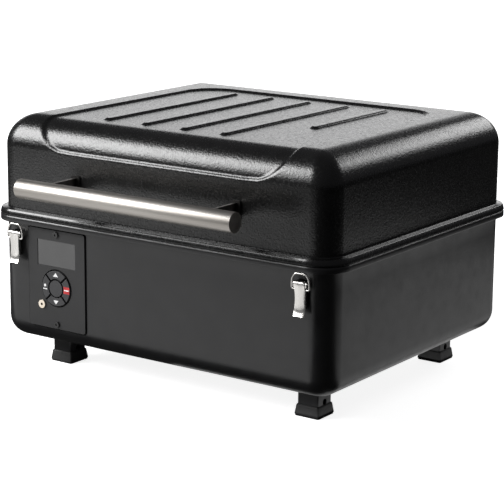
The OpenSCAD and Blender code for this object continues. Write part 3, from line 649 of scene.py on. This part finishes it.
# Blackened steel for the screws; the latch plates also take it, as painted shade behind the levers.
black_screw_steel_and_plate_shade = Finish("blackened steel", (0.003, 0.003, 0.003), 0.16)
black_screw_steel_and_plate_shade.grain(900, 0.00001).uneven("Roughness", 200, 0.12, 0.22)
black_screw_steel_and_plate_shade.mottled(300, (0.002, 0.002, 0.002), (0.004, 0.004, 0.004))
dress(["panel_screws"], black_screw_steel_and_plate_shade, 0.7 * MM, segments=4)

smoked = Finish("smoked display window", (0.046, 0.046, 0.046), 0.20, clearcoat=0.4)
smoked.grain(30, 0.00004, 1).uneven("Roughness", 25, 0.14, 0.24)
smoked.mottled(12, (0.040, 0.040, 0.040), (0.056, 0.056, 0.056))
dress(["display_window"], smoked, 0.6 * MM, segments=2)

display = Finish("display glass", (0.25, 0.27, 0.25), 0.3)
display.grain(900, 0.00001).mottled(50, (0.23, 0.25, 0.23), (0.27, 0.29, 0.27))
board = Finish("green circuit board", (0.02, 0.10, 0.04), 0.4)
board.grain(700, 0.0001, kind="Voronoi")
board.mottled(160, (0.015, 0.08, 0.03), (0.03, 0.13, 0.05), kind="Voronoi")
dress(["display_module"], display, 0.3 * MM)
dress(["controller_board"], board, 0.2 * MM)

key_plastic = Finish("matte black key plastic", (0.027, 0.027, 0.029), 0.55)
key_plastic.grain(1500, 0.00004).uneven("Roughness", 80, 0.5, 0.62)
key_plastic.mottled(60, (0.025, 0.025, 0.027), (0.030, 0.030, 0.032))
dress([n for n in nodes if n.startswith("key_")], key_plastic, 0.5 * MM, segments=3)

white_ink = Finish("white ink", (0.80, 0.80, 0.80), 0.5)
white_ink.grain(1500, 0.00002).mottled(200, (0.74, 0.74, 0.74), (0.84, 0.84, 0.84))
red_ink = Finish("red ink", (0.45, 0.02, 0.025), 0.5)
red_ink.grain(1500, 0.00002).mottled(200, (0.40, 0.015, 0.02), (0.50, 0.03, 0.03))
hub_low, hub_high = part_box("key_hub")
hub_x, hub_z = (hub_low.x + hub_high.x) / 2, (hub_low.z + hub_high.z) / 2
key_mid = 18.0 * MM
quarter = math.pi / 4


def printed_mark(name, body, ink, sides, radius, across, up, turn=0.0, squash=1.0, lift=0.06 * MM):
    """A thin printed shape on a key's face: a filled polygon, placed from the hub's middle."""
    bpy.ops.object.select_all(action="DESELECT")
    bpy.ops.mesh.primitive_cylinder_add(
        vertices=sides, radius=radius, depth=0.16 * MM, location=(0, 0, 0), rotation=(math.pi / 2, turn, 0)
    )
    mark = bpy.context.object
    mark.name = name
    bpy.ops.object.transform_apply(location=True, rotation=True, scale=True)
    mark.scale = (1, 1, squash)
    mark.location = (hub_x + across, hub_low.y - lift, hub_z + up)
    bpy.ops.object.transform_apply(location=True, rotation=True, scale=True)
    ease_edges(mark, 0.05 * MM, 1, 30)
    finish_piece(mark, body, ink)


arrow_mid = key_mid - 0.6 * MM
printed_mark("mark_up", "key_up_body", white_ink, 3, 4.9 * MM, 0, arrow_mid, 0, 0.72)
printed_mark("mark_down", "key_down_body", white_ink, 3, 4.9 * MM, 0, -arrow_mid, math.pi, 0.72)
printed_mark("mark_red", "key_menu_body", red_ink, 4, 6.8 * MM, key_mid, 0, quarter, 0.95)
printed_mark("mark_smoke_dot", "key_smoke_body", white_ink, 16, 1.9 * MM, -key_mid, 2.2 * MM)
printed_mark("mark_smoke_bar", "key_smoke_body", white_ink, 4, 4.6 * MM, -key_mid, -2.4 * MM, quarter, 0.2)
printed_mark("mark_red_bar", "key_menu_body", white_ink, 4, 5.6 * MM, key_mid, 0, quarter, 0.2, 0.16 * MM)

brass = Finish("pale brass", (0.80, 0.70, 0.58), 0.30, metal=0.6)
brass.grain(700, 0.00003).uneven("Roughness", 150, 0.22, 0.36)
brass.mottled(120, (0.76, 0.66, 0.54), (0.84, 0.76, 0.66))
jack_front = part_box("probe_jack")[0].y
# The jack turns near-black just behind its mouth: painted shade in the socket.
brass.paint_shade_past(jack_front + 0.5 * MM, jack_front + 2.0 * MM, (0.02, 0.017, 0.015))
dress(["probe_jack"], brass, 0.3 * MM, segments=3)

# ---------- latches ----------
# On each front corner a bright stainless draw latch hangs parked under the rim: a base plate coloured
# near-black as painted shade behind the lever, two ears and a pin, a pressed lever that curls round
# the pin, and a bent wire loop whose ends turn in the lever's edges.
bright = Finish("bright stainless steel", (0.66, 0.645, 0.62), 0.24, metal=1.0)
bright.grain(400, 0.00002, 3, stretch=(1, 1, 0.05))
bright.uneven("Roughness", 90, 0.20, 0.32, stretch=(1, 1, 0.2))
bright.mottled(110, (0.60, 0.585, 0.56), (0.72, 0.705, 0.68), stretch=(1, 1, 0.1))

pivot_out, pivot_z = 8 * MM, 183.5 * MM
lever_sheet = 1.2 * MM
eye_r, eye_half = 2.3 * MM, 7.3 * MM
eye_edge = 0.2 * MM
# Down the strap: its distance from the tub, its height, half its width and its turned edge's depth.
strap = [
    (10.2, 180.0, 7.2, 0.5), (9.7, 176.5, 6.9, 2.4), (9.3, 172.0, 6.4, 3.4), (9.0, 167.0, 6.2, 3.4),
    (8.8, 162.0, 6.3, 3.2), (8.7, 158.0, 6.7, 2.4), (8.7, 155.0, 7.1, 1.2), (8.9, 152.6, 7.4, 0.5),
    (9.4, 150.4, 7.6, 0.4), (10.1, 148.2, 7.7, 0.4), (10.8, 146.4, 7.6, 0.4), (11.3, 145.2, 7.3, 0.4),
    (11.6, 144.4, 6.7, 0.4), (11.8, 143.9, 5.6, 0.4),
]
tip_rows = 6
strap_crown, tip_crown = 0.5 * MM, 0.12 * MM
# The grid's outermost columns make the turned edges, and those within this share of it the face.
strap_columns = 8
face_share = 1 - 2 / strap_columns
face_inset = 0.25 * MM
curl = [
    (
        pivot_out - eye_r * math.cos(a),
        pivot_z + eye_r * math.sin(a),
        eye_half,
        -eye_edge * math.cos(a),
        eye_edge * math.sin(a),
    )
    for a in arc_steps(-70, 175, 12)
]
path = curl + [(out * MM, z * MM, half * MM, edge * MM, 0) for out, z, half, edge in strap]

# Half of the wire's corners, from its hooked end to its top: reach, height and how far each bends.
wire_r = 1.1 * MM
corners = [(5.4, 176.5, 0), (12.2, 176.5, 2.2), (12.2, 188, 6), (7.8, 195.2, 3.2)]
corners = [(reach * MM, z * MM, bend * MM) for reach, z, bend in corners]
corners += [(-reach, z, bend) for reach, z, bend in reversed(corners)]


def bent_places(corners, steps=6):
    """Points along a wire, each bent corner drawn as a short smooth curve."""
    places = []
    for i, (reach, z, bend) in enumerate(corners):
        if bend == 0:
            places.append((reach, z))
            continue
        ends = []
        for other in (corners[i - 1], corners[i + 1]):
            share = min(bend / math.hypot(other[0] - reach, other[1] - z), 0.45)
            ends.append((reach + (other[0] - reach) * share, z + (other[1] - z) * share))
        for step in range(steps + 1):
            t = step / steps
            first, middle, last = (1 - t) ** 2, 2 * t * (1 - t), t * t
            places.append((
                first * ends[0][0] + middle * reach + last * ends[1][0],
                first * ends[0][1] + middle * z + last * ends[1][1],
            ))
    return places


wire_places = bent_places(corners)
plate_size, plate_z = (12.6 * MM, 1.2 * MM, 34 * MM), 170 * MM
ear_size, ear_z, ear_apart = (1.1 * MM, 10.4 * MM, 8.4 * MM), 182 * MM, 8.7 * MM
pin_r, pin_length = 1.4 * MM, 20 * MM
for hand in ("left", "right"):
    low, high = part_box("latch_lever_" + hand)
    x = (low.x + high.x) / 2
    bpy.ops.object.select_all(action="DESELECT")
    bpy.ops.mesh.primitive_grid_add(x_subdivisions=strap_columns, y_subdivisions=len(path) - 1, size=2)
    lever = bpy.context.object
    lever.name = "latch_lever_strap_" + hand
    for vertex in lever.data.vertices:
        row = round((1 - vertex.co.y) / 2 * (len(path) - 1))
        out, z, half, edge_out, edge_z = path[row]
        across = vertex.co.x / face_share
        if abs(vertex.co.x) > (1 + face_share) / 2:
            vertex.co = (x + math.copysign(half, across), front_y - out + edge_out, z - edge_z)
            continue
        crown = strap_crown if row > len(curl) else 0
        if row >= len(path) - tip_rows:
            crown = tip_crown
        crowned = crown * (1 - across ** 2)
        vertex.co = (x + across * (half - face_inset), front_y - out - crowned, z)
    apply_modifier(lever, "SOLIDIFY", thickness=lever_sheet, offset=0, use_even_offset=True)
    ease_edges(lever, 0.3 * MM, 2, 50)
    finish_piece(lever, "latch_arm_" + hand, bright, ["latch_lever_" + hand], smooth=50)

    wire = bpy.data.curves.new("latch_wire_line_" + hand, "CURVE")
    wire.dimensions = "3D"
    wire.bevel_depth = wire_r
    wire.bevel_resolution = 4
    wire.use_fill_caps = True
    line = wire.splines.new("POLY")
    line.points.add(len(wire_places) - 1)
    for point, (reach, z) in zip(line.points, wire_places):
        point.co = (x + reach, front_y - pivot_out, z, 1)
    bail = bpy.data.objects.new("latch_wire_loop_" + hand, wire)
    bpy.context.scene.collection.objects.link(bail)
    bpy.ops.object.select_all(action="DESELECT")
    bail.select_set(True)
    bpy.context.view_layer.objects.active = bail
    bpy.ops.object.convert(target="MESH")
    bail = bpy.context.object
    finish_piece(bail, "latch_wire_" + hand, bright, ["latch_bail_" + hand], smooth=60)

    plate = round_block("latch_base_" + hand, (x, front_y - plate_size[1] / 2, plate_z), plate_size, 3 * MM)
    # The base plate takes the near-black steel as painted shade behind the lever.
    finish_piece(plate, "base", black_screw_steel_and_plate_shade, ["latch_plate_" + hand])
    for turn in (-1, 1):
        ear_at = (x + turn * ear_apart, front_y - ear_size[1] / 2, ear_z)
        ear = round_block("latch_ear_%s_%d" % (hand, turn + 1), ear_at, ear_size, 3.4 * MM, axis="X")
        finish_piece(ear, "base", bright)
    bpy.ops.object.select_all(action="DESELECT")
    bpy.ops.mesh.primitive_cylinder_add(
        vertices=32,
        radius=pin_r,
        depth=pin_length,
        location=(x, front_y - pivot_out, pivot_z),
        rotation=(0, math.pi / 2, 0),
    )
    pin = bpy.context.object
    pin.name = "latch_pin_" + hand
    bpy.ops.object.transform_apply(location=True, rotation=True, scale=True)
    ease_edges(pin, 0.4 * MM, 3, 50)
    finish_piece(pin, "base", bright)

# ---------- hinges, inlet and switch on the back ----------
# Two black butt hinges with turned pins join lid and tub. The mains inlet and its rocker switch
# are snapped into the tub's back, low behind the hopper.
dress(["hinge_tub_leaves", "hinge_lid_leaves"], black_paint, 0.4 * MM)
pin_steel = Finish("plain turned steel", (0.42, 0.42, 0.43), 0.32, metal=1.0)
pin_steel.grain(500, 0.00002, stretch=(0.05, 1, 1)).uneven("Roughness", 200, 0.26, 0.42)
dress(["hinge_pins", "hopper_hinge", "temperature_probe", "igniter_rod"], pin_steel, 0.3 * MM)
rocker_gloss = Finish("gloss black rocker", (0.015, 0.015, 0.015), 0.2, clearcoat=0.3)
rocker_gloss.grain(600, 0.00002).uneven("Roughness", 60, 0.16, 0.28)
dress(["power_rocker"], rocker_gloss, 0.5 * MM, segments=3)

# ---------- hopper and feed ----------
# Inside on the left, plain zinc-coated sheet makes the bulkhead, hopper, auger tube, ducts and
# blower housing. The auger, its motor and the fire parts are coated grey-black steel.
zinc = Finish("zinc-coated sheet", (0.52, 0.53, 0.54), 0.38, metal=0.9)
zinc.grain(60, 0.00005, kind="Voronoi").uneven("Roughness", 80, 0.30, 0.48, kind="Voronoi")
zinc.mottled(70, (0.44, 0.45, 0.46), (0.60, 0.61, 0.62), kind="Voronoi", ends=(0.1, 0.6))
folded = ["bulkhead", "hopper", "auger_tube", "air_duct", "tray_rails", "grease_cup", "blower_housing"]
dress(folded, zinc, 0.3 * MM)
dress(["hopper_lid", "controller_deck"], black_paint, 0.4 * MM)

dark_steel = Finish("heat-resistant coating", (0.075, 0.072, 0.070), 0.55, metal=0.4)
dark_steel.grain(500, 0.0001, 3).uneven("Roughness", 40, 0.45, 0.7)
dark_steel.mottled(18, (0.055, 0.052, 0.050), (0.11, 0.10, 0.095))
dress(["auger_motor", "fire_pot", "heat_baffle", "drip_tray", "blower_motor"], dark_steel, 0.4 * MM)
dress(["auger"], dark_steel, 0)

# ---------- cooking surface ----------
# A rod grate lies on the right and a cast griddle on the left, both porcelain-enamelled iron, low
# in gloss and a little pitted.
enamel = Finish("porcelain-enamelled iron", (0.022, 0.022, 0.023), 0.34)
enamel.grain(260, 0.00025, 3).uneven("Roughness", 50, 0.26, 0.46)
enamel.mottled(30, (0.016, 0.016, 0.017), (0.032, 0.031, 0.030))
dress(["grill_grate"], enamel, 0)
dress(["griddle"], enamel, 0.8 * MM, segments=3)
